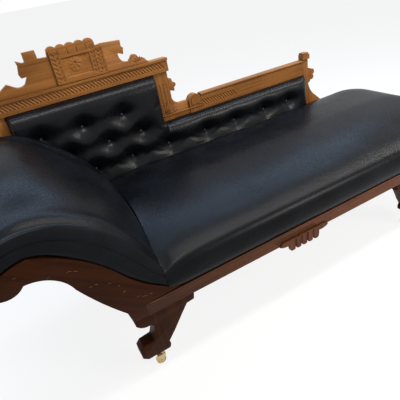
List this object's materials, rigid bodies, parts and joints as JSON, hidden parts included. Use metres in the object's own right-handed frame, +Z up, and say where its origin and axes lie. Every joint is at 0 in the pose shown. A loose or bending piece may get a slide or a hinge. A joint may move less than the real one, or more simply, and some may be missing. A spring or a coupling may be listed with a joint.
{
  "type": "fainting couch",
  "caption": "Fainting couch with a swept raised head, sprung seat with a rounded foot, tufted stepped back, carved crest and splayed legs on casters.",
  "frame": {"origin": "centre of the bounding box at floor level, under the caster wheels", "axes": "+X from the raised head towards the rounded foot, +Y from the open front towards the back, +Z up"},
  "size_m": [1.8306, 0.62, 0.927],
  "materials": {
    "golden_oak": "quartered oak, stained golden brown and varnished",
    "plain_oak": "secondary oak, planed and thinly stained",
    "black_leather": "black upholstery leather, satin",
    "button_leather": "leather-covered buttons, satin",
    "jute_webbing": "woven jute strap",
    "black_cambric": "thin black dust cloth",
    "spring_steel": "japanned spring wire",
    "screw_steel": "slotted steel, dulled",
    "aged_brass": "aged brass, greyish"
  },
  "bodies": {
    "root": {"back_buttons": "button_leather", "back_frame_screws": "screw_steel", "back_lower_rail": "plain_oak", "back_pad": "black_leather", "block_screws": "screw_steel", "caster_socket_front_foot": "aged_brass", "caster_socket_front_head": "aged_brass", "caster_socket_rear_foot": "aged_brass", "caster_socket_rear_head": "aged_brass", "corner_blocks": "plain_oak", "cornice_rail": "golden_oak", "cove_bracket": "golden_oak", "crest_board": "golden_oak", "crest_panel": "golden_oak", "cross_stretchers": "plain_oak", "dust_cover": "black_cambric", "end_post": "golden_oak", "end_post_bracket": "golden_oak", "end_post_cap": "golden_oak", "end_post_ear": "golden_oak", "foot_rail": "golden_oak", "front_drop": "golden_oak", "front_rail": "golden_oak", "head_cushion": "black_leather", "head_lining": "black_cambric", "head_nose_rail": "plain_oak", "head_slats": "plain_oak", "head_sweep_front": "golden_oak", "head_sweep_rear": "golden_oak", "leg_dowels": "plain_oak", "leg_front_foot": "golden_oak", "leg_front_head": "golden_oak", "leg_rear_foot": "golden_oak", "leg_rear_head": "golden_oak", "low_back_panel": "plain_oak", "low_back_rail": "golden_oak", "rear_rail": "plain_oak", "round_boss": "golden_oak", "seat_cushion": "black_leather", "seat_springs": "spring_steel", "seat_webbing": "jute_webbing", "stile_ear": "golden_oak", "stile_foot": "golden_oak", "stile_head": "golden_oak", "tall_back_panel": "plain_oak"},
    "caster_front_foot": {"caster_axle_front_foot": "screw_steel", "caster_fork_front_foot": "aged_brass"},
    "caster_front_head": {"caster_axle_front_head": "screw_steel", "caster_fork_front_head": "aged_brass"},
    "caster_rear_foot": {"caster_axle_rear_foot": "screw_steel", "caster_fork_rear_foot": "aged_brass"},
    "caster_rear_head": {"caster_axle_rear_head": "screw_steel", "caster_fork_rear_head": "aged_brass"},
    "wheel_front_foot": {"caster_wheel_front_foot": "aged_brass"},
    "wheel_front_head": {"caster_wheel_front_head": "aged_brass"},
    "wheel_rear_foot": {"caster_wheel_rear_foot": "aged_brass"},
    "wheel_rear_head": {"caster_wheel_rear_head": "aged_brass"}
  },
  "joints": [
    {"name": "swivel_front_head", "type": "hinge", "parent": "root", "child": "caster_front_head", "pos_m": [-0.5445, -0.2805, 0.06], "axis": [0, 0, 1], "continuous": true},
    {"name": "roll_front_head", "type": "hinge", "parent": "caster_front_head", "child": "wheel_front_head", "pos_m": [-0.5535, -0.2805, 0.016], "axis": [0, 1, 0], "continuous": true},
    {"name": "swivel_front_foot", "type": "hinge", "parent": "root", "child": "caster_front_foot", "pos_m": [0.6115, -0.2805, 0.06], "axis": [0, 0, 1], "continuous": true},
    {"name": "roll_front_foot", "type": "hinge", "parent": "caster_front_foot", "child": "wheel_front_foot", "pos_m": [0.6025, -0.2805, 0.016], "axis": [0, 1, 0], "continuous": true},
    {"name": "swivel_rear_head", "type": "hinge", "parent": "root", "child": "caster_rear_head", "pos_m": [-0.5445, 0.2595, 0.06], "axis": [0, 0, 1], "continuous": true},
    {"name": "roll_rear_head", "type": "hinge", "parent": "caster_rear_head", "child": "wheel_rear_head", "pos_m": [-0.5535, 0.2595, 0.016], "axis": [0, 1, 0], "continuous": true},
    {"name": "swivel_rear_foot", "type": "hinge", "parent": "root", "child": "caster_rear_foot", "pos_m": [0.6115, 0.2595, 0.06], "axis": [0, 0, 1], "continuous": true},
    {"name": "roll_rear_foot", "type": "hinge", "parent": "caster_rear_foot", "child": "wheel_rear_foot", "pos_m": [0.6025, 0.2595, 0.016], "axis": [0, 1, 0], "continuous": true}
  ]
}
